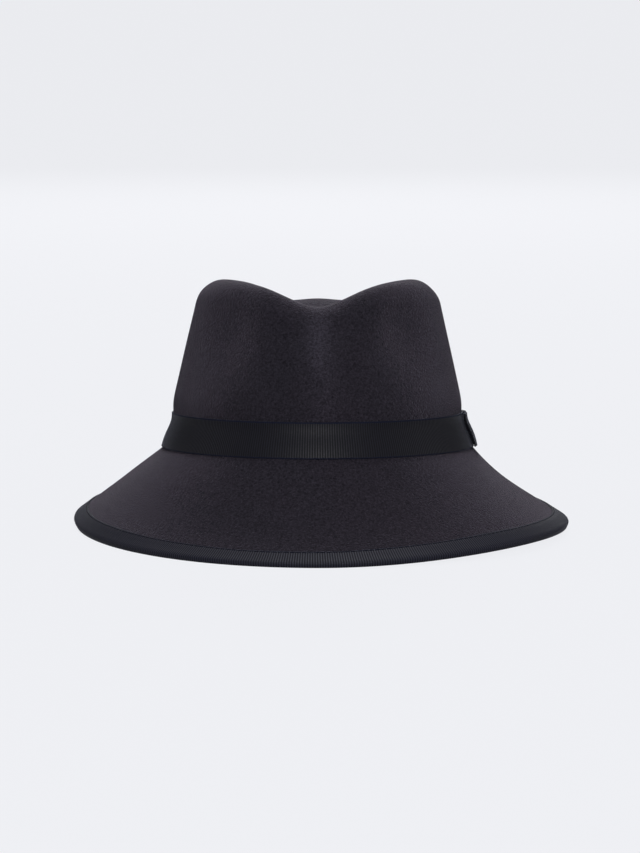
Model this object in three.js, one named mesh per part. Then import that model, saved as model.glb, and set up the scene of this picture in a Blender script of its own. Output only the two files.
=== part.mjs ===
// Fedora hat: a one-piece felt crown and brim, a ribbon round the crown with a flat bow on the wearer's left,
// a ribbon folded over the brim's edge, and inside it a leather sweatband with its reed, and a satin lining.
// Millimetres, +Z up. The front faces -Y, and the hat stands on the edge of its brim at Z = 0.
import * as THREE from 'three'
import { mergeVertices } from 'three/addons/utils/BufferGeometryUtils.js'

// Crown, in its own frame: its foot is the oval where the brim begins, at height 0.
const FOOT_RADIUS = 86.55         // half width of the felt at the foot
const OVAL = 19                   // how much longer than wide each half of the oval is
const WALL_TAPER = 0.225          // how far the wall leans in, per millimetre of height
const CROWN_HEIGHT = 95
const SHOULDER_RADIUS = 17        // the round where the wall turns into the top
const CROWN_LEAN = 0.05           // how far the crown leans forward, per millimetre of height
const CINCH = { depth: 2.3, height: 15.5, reach: 8 }   // the ribbon draws the felt in
const REAR_DROP = 15            // the top falls this much from front to rear
const DENT = { front: 14.9, middle: 21, halfWidth: 25.3, power: 1.85 }   // the crease along the top
const FRONT_CREASE = { depth: 4.5, halfWidth: 20 }     // the crease runs on down the front wall
const PINCH = { depth: 5, angle: 0.72, spread: 0.3, height: 68, reach: 24 }   // a dent each side of the front

// The crown sits on the brim tipped back, and a little off the brim's centre.
const CROWN_TILT = THREE.MathUtils.degToRad(4.2)
const CROWN_PLACE = new THREE.Vector3(-1.5, -5.1, 42.6)

// Brim: its edge stands on a flat surface, and lifts off it a little in two places.
const BRIM_HALF_WIDTH = 137.4
const BRIM_HALF_LENGTH = 151.8
const EDGE_HEIGHT = 2.35           // of the felt's upper edge over the lowest ribbon
const EDGE_LIFTS = [
  { height: 1.1, angle: -1.75, spread: 0.48 },
  { height: 3.6, angle: 0.95, spread: 0.96 },
]
const EDGE_FORWARD = 15.9          // the brim is widest this far forward on the wearer's left
// How many degrees the meridian is steeper than the straight line at the foot, and flatter at the edge.
const BRIM_START = { side: 1.6, ends: 10, left: 11, right: -2.2 }
const BRIM_END = { side: 0.4, front: 27, rear: 16, left: 3.9 }
const FLARE_TURN = 0.2            // the front flare is this far round to the wearer's right, in radians

// Layers.
const FELT = 1.8
const GAP = 0.3                   // clear space between neighbours
const RIBBON = 0.6
const RIBBON_WIDTH = 20
const BINDING = 0.4
const BINDING_WIDTH = 9.5
const LINING = 0.5
const LEATHER = 1
const SWEATBAND_HEIGHT = 38
const REED_RADIUS = 0.9
const THREAD_RADIUS = 0.25

const ROUND = 48                  // steps round the oval
// Every layer turns at the same heights up the wall, and the felt and the binding at the same places out
// along the brim, so that the flat faces of one never cut the next.
const WALL_HEIGHTS = [68, 54, SWEATBAND_HEIGHT, 28, RIBBON_WIDTH, 14.5, 10, 5]
const BRIM_STATIONS = [3.2, 3.42, 3.64]

const { smoothstep } = THREE.MathUtils

// The meridian runs from the crown's centre (0) by the shoulder (1 to 2) and the wall (2 to 3) to the
// brim's edge (4). On the wall the station falls evenly with height.
const wallSlope = Math.atan(WALL_TAPER)
const shoulderHeight = CROWN_HEIGHT - SHOULDER_RADIUS * (1 - Math.sin(wallSlope))
const topRadius = FOOT_RADIUS - WALL_TAPER * shoulderHeight - SHOULDER_RADIUS * Math.cos(wallSlope)

function onWall(height) {
  return 3 - height / shoulderHeight
}

// Radius and height of the plain block at a crown station.
function blockPoint(station) {
  if (station <= 1) return [topRadius * station, CROWN_HEIGHT]
  if (station <= 2) {
    const turn = Math.PI / 2 - (station - 1) * (Math.PI / 2 - wallSlope)
    return [
      topRadius + SHOULDER_RADIUS * Math.cos(turn),
      CROWN_HEIGHT - SHOULDER_RADIUS * (1 - Math.sin(turn)),
    ]
  }
  const height = (3 - station) * shoulderHeight
  const cinch = CINCH.depth * Math.exp(-(((height - CINCH.height) / CINCH.reach) ** 2))
  return [FOOT_RADIUS - WALL_TAPER * height - cinch, height]
}

// A point of the creased crown. The angle starts at the front and grows towards +X.
function crownPoint(angle, station) {
  const [radius, height] = blockPoint(station)
  const aside = Math.min(Math.abs(angle), Math.abs(angle - 2 * Math.PI))
  const pinch = PINCH.depth * Math.exp(-(((aside - PINCH.angle) / PINCH.spread) ** 2))
    * Math.exp(-(((height - PINCH.height) / PINCH.reach) ** 2)) * Math.min(1, radius / topRadius)
  const oval = OVAL * Math.min(1, radius / topRadius)
  const x = (radius - pinch) * Math.sin(angle)
  let y = -(radius - pinch + oval) * Math.cos(angle) - CROWN_LEAN * height
  const upper = smoothstep(height, 50, 92)
  const forward = 1 - smoothstep(y, -70, -25)
  const dent = THREE.MathUtils.lerp(DENT.middle, DENT.front, forward) * (1 - smoothstep(y, 10, 66))
    * Math.exp(-((Math.abs(x) / DENT.halfWidth) ** DENT.power)) * upper
  const drop = REAR_DROP * smoothstep(y, -35, 85) * smoothstep(height, 0, CROWN_HEIGHT)
  y += FRONT_CREASE.depth * Math.exp(-((x / FRONT_CREASE.halfWidth) ** 2))
    * smoothstep(height, 27, 92) * (1 - smoothstep(y, -90, -40))
  return new THREE.Vector3(x, y, height - drop - dent)
    .applyAxisAngle(new THREE.Vector3(1, 0, 0), -CROWN_TILT).add(CROWN_PLACE)
}

function edgeLift(angle) {
  return EDGE_LIFTS.reduce((sum, lift) => {
    const away = Math.abs(Math.atan2(Math.sin(angle - lift.angle), Math.cos(angle - lift.angle)))
    return sum + lift.height * Math.cos(Math.PI / 2 * Math.min(1, away / lift.spread)) ** 2
  }, 0)
}

function edgePoint(angle) {
  return new THREE.Vector3(
    BRIM_HALF_WIDTH * Math.sin(angle),
    -BRIM_HALF_LENGTH * Math.cos(angle) - EDGE_FORWARD * Math.max(0, Math.sin(angle)) ** 2,
    EDGE_HEIGHT + edgeLift(angle))
}

// The brim's meridian is a cubic curve from the crown's foot to the edge.
function brimPoint(angle, along) {
  const foot = crownPoint(angle, 3)
  const edge = edgePoint(angle)
  const out = new THREE.Vector3(edge.x - foot.x, edge.y - foot.y, 0)
  const straight = Math.atan2(foot.z - edge.z, out.length())
  const handle = 0.36 * foot.distanceTo(edge)
  out.normalize()
  const ends = Math.cos(angle) ** 2
  const front = Math.max(0, Math.cos(angle + FLARE_TURN)) ** 4
  const rear = Math.max(0, -Math.cos(angle)) ** 2
  const left = Math.max(0, Math.sin(angle)) ** 2
  const start = straight
    + THREE.MathUtils.degToRad(BRIM_START.side + BRIM_START.ends * ends + BRIM_START.left * left
      + BRIM_START.right * Math.max(0, -Math.sin(angle)) ** 2)
  const end = straight
    - THREE.MathUtils.degToRad(BRIM_END.side + BRIM_END.front * front + BRIM_END.rear * rear
      + BRIM_END.left * left)
  const heading = (slope) => out.clone().multiplyScalar(Math.cos(slope)).setZ(-Math.sin(slope))
  const curve = new THREE.CubicBezierCurve3(
    foot,
    foot.clone().addScaledVector(heading(start), handle),
    edge.clone().addScaledVector(heading(end), -handle),
    edge)
  return curve.getPoint(along)
}

function outerPoint(angle, station) {
  if (station <= 3) return crownPoint(angle, Math.max(station, 0))
  if (station <= 4) return brimPoint(angle, station - 3)
  // Past the edge the brim runs straight on.
  const edge = edgePoint(angle)
  return edge.clone().addScaledVector(edge.clone().sub(brimPoint(angle, 0.98)), (station - 4) / 0.02)
}

// A point at a depth under the felt's outer surface: negative depths stand out from it.
function layerPoint(angle, station, depth) {
  const centre = Math.max(station, 0.02)
  const step = 0.004
  const round = outerPoint(angle + step, centre).sub(outerPoint(angle - step, centre))
  const down = outerPoint(angle, centre + step).sub(outerPoint(angle, centre - step))
  const outward = station < 0.02 ? new THREE.Vector3(0, 0, 1) : down.cross(round).normalize().negate()
  if (station >= 0.02 && outward.dot(new THREE.Vector3(Math.sin(angle), -Math.cos(angle), 1)) < 0) {
    outward.negate()
  }
  return outerPoint(angle, station).addScaledVector(outward, -depth)
}

// Signed volume, to turn a closed mesh's faces outward.
function signedVolume(geometry) {
  const position = geometry.attributes.position
  const index = geometry.index
  const corners = [new THREE.Vector3(), new THREE.Vector3(), new THREE.Vector3()]
  let volume = 0
  for (let i = 0; i < index.count; i += 3) {
    corners.forEach((corner, k) => corner.fromBufferAttribute(position, index.getX(i + k)))
    volume += corners[0].dot(corners[1].clone().cross(corners[2])) / 6
  }
  return volume
}

// Moves each vertex by the given rule, joins the seams, and leaves one closed body facing out.
function shaped(geometry, move) {
  const position = geometry.attributes.position
  const uv = geometry.attributes.uv
  for (let i = 0; i < position.count; i++) {
    const point = move(new THREE.Vector3().fromBufferAttribute(position, i), uv.getX(i), uv.getY(i))
    position.setXYZ(i, point.x, point.y, point.z)
  }
  geometry.deleteAttribute('normal')
  geometry.deleteAttribute('uv')
  const joined = mergeVertices(geometry, 1e-4)
  const corners = joined.index.array
  const kept = []
  for (let i = 0; i < corners.length; i += 3) {
    const [a, b, c] = corners.slice(i, i + 3)
    if (a !== b && b !== c && c !== a) kept.push(a, b, c)
  }
  joined.setIndex(kept)
  if (signedVolume(joined) < 0) joined.setIndex(kept.reverse())
  joined.computeVertexNormals()
  return joined
}

// A ring round the hat: the profile is a closed outline of [station, depth] corners.
function ringRound(profile, steps = ROUND) {
  const outline = profile.map(([station, depth]) => new THREE.Vector2(station + 1, depth))
  const lathe = new THREE.LatheGeometry(outline, steps)
  return shaped(lathe, (point, u, v) => {
    const [station, depth, foot] = profile[Math.round(v * (profile.length - 1))]
    const place = layerPoint(u * 2 * Math.PI, station, depth)
    return foot ? place.setZ(edgeLift(u * 2 * Math.PI)) : place
  })
}

// Closes an outline by coming back to its first point.
function closed(outline) {
  return [...outline, outline[0]]
}

// A strip between two depths, through the given stations. Its deeper face goes first, so that the facets
// of neighbouring layers are split along the same diagonals.
function strip(stations, shallow, deep) {
  return closed([
    ...stations.map((station) => [station, deep]),
    ...stations.toReversed().map((station) => [station, shallow]),
  ])
}

function steps(from, to, count) {
  return Array.from({ length: count + 1 }, (_, i) => from + (to - from) * i / count)
}

// A round cord of the given radius, centred at a station and a depth. The scale turns millimetres into
// stations there.
function cord(station, depth, radius, scale, sides = 6) {
  return closed(steps(0, 2 * Math.PI, sides).slice(0, -1).map((turn) => [
    station + scale * radius * Math.cos(turn), depth + radius * Math.sin(turn)]))
}

const PER_MM_WALL = 1 / shoulderHeight
const PER_MM_BRIM = 1 / 65        // the brim is about 65 mm from foot to edge
const BINDING_STATIONS = [4 - BINDING_WIDTH * PER_MM_BRIM, 4 - BINDING_WIDTH / 2 * PER_MM_BRIM, 4]

function wallStations(from, to) {
  return WALL_HEIGHTS.filter((height) => height <= from && height >= to).map(onWall)
}

// A point on the wall near an angle: distance round it, height, and depth.
function patchPoint(angle, round, height, depth) {
  const here = outerPoint(angle, onWall(height))
  const ahead = outerPoint(angle + 0.01, onWall(height))
  return layerPoint(angle + 0.01 * round / here.distanceTo(ahead), onWall(height), depth)
}

// A flat outline drawn in (round, height), pressed onto the wall between two depths.
function patch(outline, angle, outside, inside) {
  const shape = new THREE.Shape(outline.map(([round, height]) => new THREE.Vector2(round, height)))
  const plate = new THREE.ExtrudeGeometry(shape, { depth: 1, bevelEnabled: false })
  return shaped(plate, (point) => patchPoint(angle, point.x, point.y, point.z > 0.5 ? outside : inside))
}

// A cap over the crown's centre between two depths: the first face runs down the stations, the second back.
function cap(stations, first, second) {
  const profile = [
    ...stations.map((station) => [station, first]),
    ...stations.toReversed().map((station) => [station, second]),
  ]
  const outline = profile.map(([station, depth]) => new THREE.Vector2(station, -depth))
  return shaped(new THREE.LatheGeometry(outline, ROUND), (point, u, v) => {
    const [station, depth] = profile[Math.round(v * (profile.length - 1))]
    return layerPoint(u * 2 * Math.PI, station, depth)
  })
}

function feltBody() {
  const stations = [
    ...steps(0, 1, 6), ...steps(1, 2, 4).slice(1), ...wallStations(66, 5), 3,
    ...BRIM_STATIONS, ...BINDING_STATIONS,
  ]
  return cap(stations, 0, FELT)
}

function hatband() {
  return ringRound(strip([...wallStations(RIBBON_WIDTH, 5), onWall(0.8)], -GAP - RIBBON, -GAP))
}

// The ribbon is folded over the brim's edge. The two lowest corners of its section are level with each
// other, so the hat rests on a narrow flat where its edge is down on the surface.
function brimBinding() {
  const [inner, middle, edge] = BINDING_STATIONS
  const lip = 4 + GAP * PER_MM_BRIM
  const outer = 4 + (GAP + BINDING) * PER_MM_BRIM
  const top = -GAP
  const under = FELT + GAP
  const profile = closed([
    [inner, top], [middle, top], [edge, top], [lip, top],
    [lip, under], [edge, under], [middle, under], [inner, under],
    [inner, under + BINDING], [middle, under + BINDING],
    [outer - 1.4 * PER_MM_BRIM, under + BINDING, 'foot'], [outer, under - 0.6, 'foot'],
    [outer, top + 0.1], [outer - 0.5 * PER_MM_BRIM, top - BINDING],
    [middle, top - BINDING], [inner, top - BINDING],
  ])
  return ringRound(profile)
}

function bindingThread(depth) {
  return ringRound(cord(4 - (BINDING_WIDTH - 1) * PER_MM_BRIM, depth, THREAD_RADIUS, PER_MM_BRIM, 4))
}

// Layers inside the crown, counted from the felt's inner face.
const liningDepth = FELT + GAP
const sweatbandDepth = liningDepth + LINING + GAP
const reedDepth = liningDepth + LINING + GAP + REED_RADIUS
const sweatbandFootDepth = reedDepth + REED_RADIUS + GAP

function sweatband() {
  const face = [
    [onWall(0.8), sweatbandFootDepth], [onWall(5), sweatbandFootDepth],
    [onWall(10), sweatbandFootDepth - 1],
    ...wallStations(SWEATBAND_HEIGHT, 14.5).toReversed().map((station) => [station, sweatbandDepth]),
  ]
  const back = face.toReversed().map(([station, depth]) => [station, depth + LEATHER])
  return ringRound(closed([...face, ...back]))
}

const sweatbandFace = sweatbandDepth + LEATHER

function sweatbandReed() {
  return ringRound(cord(onWall(1.8), reedDepth, REED_RADIUS, PER_MM_WALL))
}

function reedTape() {
  return ringRound(strip([...wallStations(10, 5), onWall(0.8)], liningDepth, liningDepth + LINING))
}

function sweatbandThread() {
  const depth = sweatbandFootDepth - 0.6 + LEATHER + GAP + THREAD_RADIUS
  return ringRound(cord(onWall(6.5), depth + 0.3, THREAD_RADIUS, PER_MM_WALL, 4))
}

// A zigzag of thread joins the two ends of the sweatband at the rear.
function sweatbandSeam() {
  const depth = sweatbandFace + 2 * GAP + THREAD_RADIUS
  const stitches = 7
  const corners = steps(22, SWEATBAND_HEIGHT - 1.5, stitches).map((height, i) => (
    patchPoint(Math.PI, i % 2 ? 2.2 : -2.2, height, depth)))
  const path = new THREE.CatmullRomCurve3(corners, false, 'catmullrom', 0.2)
  const section = new THREE.Shape().absarc(0, 0, THREAD_RADIUS, 0, 2 * Math.PI)
  const thread = new THREE.ExtrudeGeometry(section, { extrudePath: path, steps: 28, curveSegments: 3 })
  return shaped(thread, (point) => point)
}

// A small flat bow sewn over the seam.
function sweatbandBow() {
  const half = [[0, 1.4], [3, 2.6], [8, 4.2], [9.2, 2], [9.2, -2], [8, -4.2], [3, -2.6], [0, -1.4]]
  const left = half.slice(1, -1).toReversed().map(([round, up]) => [-round, up])
  const outline = [...half, ...left].map(([round, up]) => [round, up + 16])
  const depth = sweatbandFootDepth + GAP
  return patch(outline, Math.PI, depth, depth + 0.9)
}

function liningSide() {
  const stations = [1.5, 1.75, 2, ...wallStations(66, 14.5)]
  return ringRound(strip(stations, liningDepth, liningDepth + LINING))
}

function liningTip() {
  return cap([...steps(0, 1, 6), 1.25], liningDepth + LINING, liningDepth)
}

function liningPiping() {
  return ringRound(cord(1.375, liningDepth + LINING + GAP + 0.5, 0.5, 1 / 22))
}

// Bow: a ribbon folded into two flat loops, a keeper round its middle, and a tail under the rear loop.
const BOW_ANGLE = THREE.MathUtils.degToRad(97)
const BOW = {
  half: 31, low: 1.4, high: RIBBON_WIDTH - 0.3, fold: 0.3, rise: 1.7, middle: 0.6, keeper: 6, spring: 0.6,
}
const bowBack = GAP + RIBBON + GAP + BOW.fold + GAP    // stands this far out from the felt

// The bow is stiffer than the curved wall, so its ends spring away from it.
function bowSpring(round) {
  return BOW.spring * (round / BOW.half) ** 2
}

function bowLoops() {
  const bottom = steps(-BOW.half + 1, BOW.half - 1, 8).map((round) => [round, 0])
  const top = [
    [BOW.half - 1.5, BOW.rise], [BOW.half / 2, BOW.rise], [BOW.keeper, BOW.middle],
    [-BOW.keeper, BOW.middle], [-BOW.half / 2, BOW.rise], [-BOW.half + 1.5, BOW.rise],
  ]
  const sprung = ([round, out]) => new THREE.Vector2(round, out + bowSpring(round))
  const outline = new THREE.Shape([
    [-BOW.half, 0.4], ...bottom, [BOW.half, 0.4], [BOW.half, BOW.rise - 0.5], ...top, [-BOW.half, BOW.rise - 0.5],
  ].map(sprung))
  for (const side of [-1, 1]) {
    outline.holes.push(new THREE.Path([
      [side * (BOW.keeper + 1.5), BOW.fold], [side * BOW.half / 2, BOW.fold],
      [side * (BOW.half - 1), BOW.fold], [side * (BOW.half - 0.5), BOW.fold + 0.2],
      [side * (BOW.half - 0.5), BOW.rise - BOW.fold - 0.25], [side * (BOW.half - 1.5), BOW.rise - BOW.fold],
      [side * BOW.half / 2, BOW.rise - BOW.fold],
    ].map(sprung)))
  }
  const fold = new THREE.ExtrudeGeometry(outline, { depth: 1, steps: 4, bevelEnabled: false })
  return shaped(fold, (point) => {
    const height = THREE.MathUtils.lerp(BOW.low, BOW.high, point.z)
    return patchPoint(BOW_ANGLE, point.x, height, -bowBack - point.y)
  })
}

// The keeper is a flat ring sewn round the middle of the loops: the lathe's turn runs round that ring.
function bowKeeper() {
  const heights = steps(BOW.low, BOW.high, 4)
  const wrap = (clear) => {
    const run = [BOW.low - clear, ...heights, BOW.high + clear]
    return [
      ...run.map((height) => [height, -clear]),
      ...run.toReversed().map((height) => [height, BOW.middle + clear]),
    ]
  }
  const faces = [wrap(GAP), wrap(GAP + BOW.fold)]
  const half = BOW.keeper - 0.8
  const profile = closed([[0, -half], [1, -half], [1, 0], [1, half], [0, half], [0, 0]])
  const outline = profile.map(([face, round]) => new THREE.Vector2(face + 2, round))
  const count = faces[0].length
  return shaped(new THREE.LatheGeometry(outline, count), (point, u, v) => {
    const [face, round] = profile[Math.round(v * (profile.length - 1))]
    const [height, out] = faces[face][Math.round(u * count) % count]
    return patchPoint(BOW_ANGLE, round, height, -bowBack - out - bowSpring(round))
  })
}

// The tail lies under the rear loop, and its end is cut on a slant.
function bowTail() {
  const rounds = steps(BOW.keeper + 1, BOW.half + 7, 7)
  const spring = (round) => 0.55 * bowSpring(round)
  const outline = new THREE.Shape([
    ...rounds.map((round) => new THREE.Vector2(round, spring(round))),
    ...rounds.toReversed().map((round) => new THREE.Vector2(round, spring(round) + BOW.fold)),
  ])
  const strap = new THREE.ExtrudeGeometry(outline, { depth: 1, steps: 3, bevelEnabled: false })
  const end = rounds.at(-1)
  return shaped(strap, (point) => {
    const height = THREE.MathUtils.lerp(1.2, RIBBON_WIDTH - 0.8, point.z)
    const slant = point.x > end - 1 ? 5 * (1 - point.z) : 0
    return patchPoint(BOW_ANGLE, point.x + slant, height, -GAP - RIBBON - GAP - point.y)
  })
}

const hat = new THREE.Group()

function piece(name, geometry, color, roughness, metalness = 0) {
  const mesh = new THREE.Mesh(geometry, new THREE.MeshStandardMaterial({ color, roughness, metalness }))
  mesh.name = name
  hat.add(mesh)
}

const CHARCOAL = 0x2a272d
const RIBBON_BLACK = 0x1c1c22
const THREAD_BLUE = 0x14151f
const BROWN_LEATHER = 0x3a2a20
const SATIN = 0x3b3a44

piece('felt_body', feltBody(), CHARCOAL, 0.95)
piece('hatband', hatband(), RIBBON_BLACK, 0.7)
piece('bow_loops', bowLoops(), RIBBON_BLACK, 0.7)
piece('bow_keeper', bowKeeper(), RIBBON_BLACK, 0.7)
piece('bow_tail', bowTail(), RIBBON_BLACK, 0.7)
piece('brim_binding', brimBinding(), RIBBON_BLACK, 0.7)
piece('binding_thread_upper', bindingThread(-GAP - BINDING - GAP - THREAD_RADIUS), THREAD_BLUE, 0.8)
piece('binding_thread_lower', bindingThread(FELT + GAP + BINDING + GAP + THREAD_RADIUS), THREAD_BLUE, 0.8)
piece('sweatband', sweatband(), BROWN_LEATHER, 0.55)
piece('sweatband_reed', sweatbandReed(), 0xd8d4c8, 0.4)
piece('reed_tape', reedTape(), 0x26252b, 0.85)
piece('sweatband_thread', sweatbandThread(), THREAD_BLUE, 0.8)
piece('sweatband_seam_thread', sweatbandSeam(), THREAD_BLUE, 0.8)
piece('sweatband_bow', sweatbandBow(), SATIN, 0.35)
piece('lining_side', liningSide(), SATIN, 0.35)
piece('lining_tip', liningTip(), SATIN, 0.35)
piece('lining_piping', liningPiping(), SATIN, 0.4)

export default hat
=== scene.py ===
import math

import bmesh
import bpy
import numpy as np
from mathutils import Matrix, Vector


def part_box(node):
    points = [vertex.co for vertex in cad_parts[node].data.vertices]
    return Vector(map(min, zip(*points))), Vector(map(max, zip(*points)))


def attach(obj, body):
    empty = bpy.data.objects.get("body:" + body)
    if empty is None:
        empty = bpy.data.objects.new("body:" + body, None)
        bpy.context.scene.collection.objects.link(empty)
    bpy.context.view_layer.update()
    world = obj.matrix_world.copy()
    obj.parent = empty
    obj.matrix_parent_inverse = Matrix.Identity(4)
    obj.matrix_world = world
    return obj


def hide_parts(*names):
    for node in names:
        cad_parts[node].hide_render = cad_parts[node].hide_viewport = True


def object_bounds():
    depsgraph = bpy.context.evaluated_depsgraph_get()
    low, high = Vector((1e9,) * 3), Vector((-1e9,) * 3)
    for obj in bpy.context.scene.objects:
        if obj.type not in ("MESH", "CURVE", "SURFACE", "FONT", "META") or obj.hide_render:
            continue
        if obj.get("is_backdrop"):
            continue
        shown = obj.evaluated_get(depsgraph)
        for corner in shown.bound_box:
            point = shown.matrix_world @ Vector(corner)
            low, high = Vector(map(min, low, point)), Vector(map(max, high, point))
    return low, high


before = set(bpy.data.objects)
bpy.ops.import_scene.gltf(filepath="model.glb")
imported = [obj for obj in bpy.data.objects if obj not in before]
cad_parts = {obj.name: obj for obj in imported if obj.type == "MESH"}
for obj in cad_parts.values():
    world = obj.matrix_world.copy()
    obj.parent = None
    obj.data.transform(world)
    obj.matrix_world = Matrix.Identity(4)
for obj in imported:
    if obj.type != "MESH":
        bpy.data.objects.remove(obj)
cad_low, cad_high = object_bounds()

MM = 0.001

# ---- sizes of the hat, in millimetres --------------------------------------------------------------------
felt_low, felt_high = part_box("felt_body")
BRIM_HALF_WIDTH = (felt_high.x - felt_low.x) / 2 / MM
BRIM_HALF_LENGTH = (felt_high.y - felt_low.y) / 2 / MM
FOOT_RADIUS = 86.55         # half width of the crown's foot
OVAL = 19.0                 # how much longer than wide each half of the oval is
WALL_TAPER = 0.225
CROWN_HEIGHT = 95.0
SHOULDER_RADIUS = 17.0
CROWN_LEAN = 0.05
CINCH_DEPTH, CINCH_HEIGHT, CINCH_REACH = 2.3, 15.5, 8.0
REAR_DROP = 15.0
DENT_FRONT, DENT_MIDDLE, DENT_HALF_WIDTH, DENT_POWER = 14.9, 21.0, 25.3, 1.85
CREASE_DEPTH, CREASE_HALF_WIDTH = 4.5, 20.0
PINCH_DEPTH, PINCH_ANGLE, PINCH_SPREAD, PINCH_HEIGHT, PINCH_REACH = 5.0, 0.72, 0.3, 68.0, 24.0
# Where each change of the crown begins and ends: back from the front, or up from the foot.
DENT_FRONT_PART, DENT_FADE, DENT_HEIGHTS = (-70, -25), (10, 66), (50, 92)
DROP_PART = (-35, 85)
FRONT_PART, CREASE_HEIGHTS = (-90, -40), (27, 92)
FLUTE_RISE, FLUTE_FADE = (16, 42), (74, 92)
DOME_PART, DOME_HEIGHTS = (5, 45), (80, 94)
CROWN_TILT = math.radians(4.2)
CROWN_PLACE = np.array((-1.5, -5.1, 42.6))
EDGE_HEIGHT = 2.35
EDGE_FORWARD = 15.9         # the brim is widest this far forward on the wearer's left
EDGE_LIFTS = ((1.1, -1.75, 0.48), (3.6, 0.95, 0.96))    # height, angle and spread of each lift of the edge
# The brim's meridian, in degrees: steeper than the straight line at its foot, and flatter at its edge.
START_SIDE, START_ENDS, START_LEFT, START_RIGHT = 1.6, 10.0, 11.0, -2.2
END_SIDE, END_FRONT, END_REAR, END_LEFT = 0.4, 27.0, 16.0, 3.9
FLARE_TURN = 0.2            # the front flare is this far round to the wearer's right, in radians
BRIM_HANDLE = 0.36          # length of the meridian's two handles, as a share of the straight line

FELT = 1.8
GAP = 0.3
RIBBON = 0.6
RIBBON_WIDTH = 20.0
BINDING = 0.4
BINDING_WIDTH = 9.5
BINDING_TURN = 3.4          # what the fold over the edge takes of the ribbon's width
BINDING_RIBBON = 2 * BINDING_WIDTH + BINDING_TURN
LINING = 0.5
LEATHER = 1.0
SWEATBAND_HEIGHT = 38.0
REED_RADIUS = 0.9
PIPING_RADIUS = 0.55
SHOULDER_ARC = 22.0         # about how far it is over the crown's shoulder
RIB_PITCH = 1.35            # of the ribs of the grosgrain
RIB_HEIGHT = 0.08
THREAD_RADIUS = 0.2
STITCH = 3.2
BRIM_LENGTH = 65.0          # about how far it is along the brim from the crown's foot to the edge

# Painted light and shade on the crown's front: strokes that lighten the felt's colour below the front crease
# and darken it beside the two front folds and low on the left.
PAINTED_SHADING_STROKES = (             # place across the front, half width, lowest and highest point, and how much
    (-0.8, 6.0, 98.0, 126.0, 0.85), (3.0, 8.0, 62.0, 100.0, 0.25), (-19.0, 8.0, 70.0, 122.0, -0.16),
    (18.0, 6.5, 74.0, 120.0, -0.08), (-46.0, 14.0, 62.0, 84.0, -0.22), (30.0, 10.0, 90.0, 110.0, 0.08))
FLUTE_DEPTH, FLUTE_PLACE, FLUTE_HALF_WIDTH = 1.8, 17.0, 9.0     # two soft folds down the front of the crown
REAR_ROUND, REAR_ROUND_HALF_WIDTH = 1.5, 12.0                   # the back of the crown's top domes a little


# ---- the felt's surface ----------------------------------------------------------------------------------
# A place on the hat is an angle, from the front towards +X, and a station down the meridian: 0 at the
# crown's centre, 1 to 2 over the shoulder, 2 to 3 down the wall, 3 to 4 out along the brim.
def smooth(value, low, high):
    part = np.clip((value - low) / (high - low), 0, 1)
    return part * part * (3 - 2 * part)


CENTRE_STATION = 0.02       # any closer to the crown's centre, the surface counts as level
EDGE_STEP = 0.02            # the last part of the brim, which sets the direction beyond its edge
TURN_SAMPLES = 721

wall_slope = math.atan(WALL_TAPER)
shoulder_height = CROWN_HEIGHT - SHOULDER_RADIUS * (1 - math.sin(wall_slope))
top_radius = FOOT_RADIUS - WALL_TAPER * shoulder_height - SHOULDER_RADIUS * math.cos(wall_slope)


def on_wall(height):
    return 3 - height / shoulder_height


def block_point(station):
    """Radius and height of the plain hat block."""
    turn = math.pi / 2 - np.clip(station - 1, 0, 1) * (math.pi / 2 - wall_slope)
    wall_height = np.clip(3 - station, 0, 1) * shoulder_height
    cinch = CINCH_DEPTH * np.exp(-((wall_height - CINCH_HEIGHT) / CINCH_REACH) ** 2)
    radius = np.where(station <= 1, top_radius * station, top_radius + SHOULDER_RADIUS * np.cos(turn))
    radius = np.where(station > 2, FOOT_RADIUS - WALL_TAPER * wall_height - cinch, radius)
    height = np.where(station <= 1, CROWN_HEIGHT, CROWN_HEIGHT - SHOULDER_RADIUS * (1 - np.sin(turn)))
    return radius, np.where(station > 2, wall_height, height)


def crown_point(angle, station):
    radius, height = block_point(station)
    aside = np.abs(np.arctan2(np.sin(angle), np.cos(angle)))
    inner = np.minimum(1, radius / top_radius)
    pinch = PINCH_DEPTH * inner * np.exp(-((aside - PINCH_ANGLE) / PINCH_SPREAD) ** 2)
    pinch = pinch * np.exp(-((height - PINCH_HEIGHT) / PINCH_REACH) ** 2)
    x = (radius - pinch) * np.sin(angle)
    y = -(radius - pinch + OVAL * inner) * np.cos(angle) - CROWN_LEAN * height
    towards_front = 1 - smooth(y, *DENT_FRONT_PART)
    dent = (DENT_MIDDLE + (DENT_FRONT - DENT_MIDDLE) * towards_front) * (1 - smooth(y, *DENT_FADE))
    dent = dent * np.exp(-(np.abs(x) / DENT_HALF_WIDTH) ** DENT_POWER) * smooth(height, *DENT_HEIGHTS)
    drop = REAR_DROP * smooth(y, *DROP_PART) * smooth(height, 0, CROWN_HEIGHT)
    front = 1 - smooth(y, *FRONT_PART)
    crease = CREASE_DEPTH * np.exp(-(x / CREASE_HALF_WIDTH) ** 2) * smooth(height, *CREASE_HEIGHTS)
    flute = FLUTE_DEPTH * np.exp(-((np.abs(x) - FLUTE_PLACE) / FLUTE_HALF_WIDTH) ** 2)
    y = y + (crease + flute * smooth(height, *FLUTE_RISE) * (1 - smooth(height, *FLUTE_FADE))) * front
    dome = REAR_ROUND * (1 - np.exp(-(x / REAR_ROUND_HALF_WIDTH) ** 2))
    z = height - drop - dent - dome * smooth(y, *DOME_PART) * smooth(height, *DOME_HEIGHTS)
    cos, sin = math.cos(-CROWN_TILT), math.sin(-CROWN_TILT)
    return np.stack((x, y * cos - z * sin, y * sin + z * cos), -1) + CROWN_PLACE


def edge_lift(angle):
    lift = 0
    for height, place, spread in EDGE_LIFTS:
        away = np.abs(np.arctan2(np.sin(angle - place), np.cos(angle - place)))
        lift = lift + height * np.cos(math.pi / 2 * np.minimum(1, away / spread)) ** 2
    return lift


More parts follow.
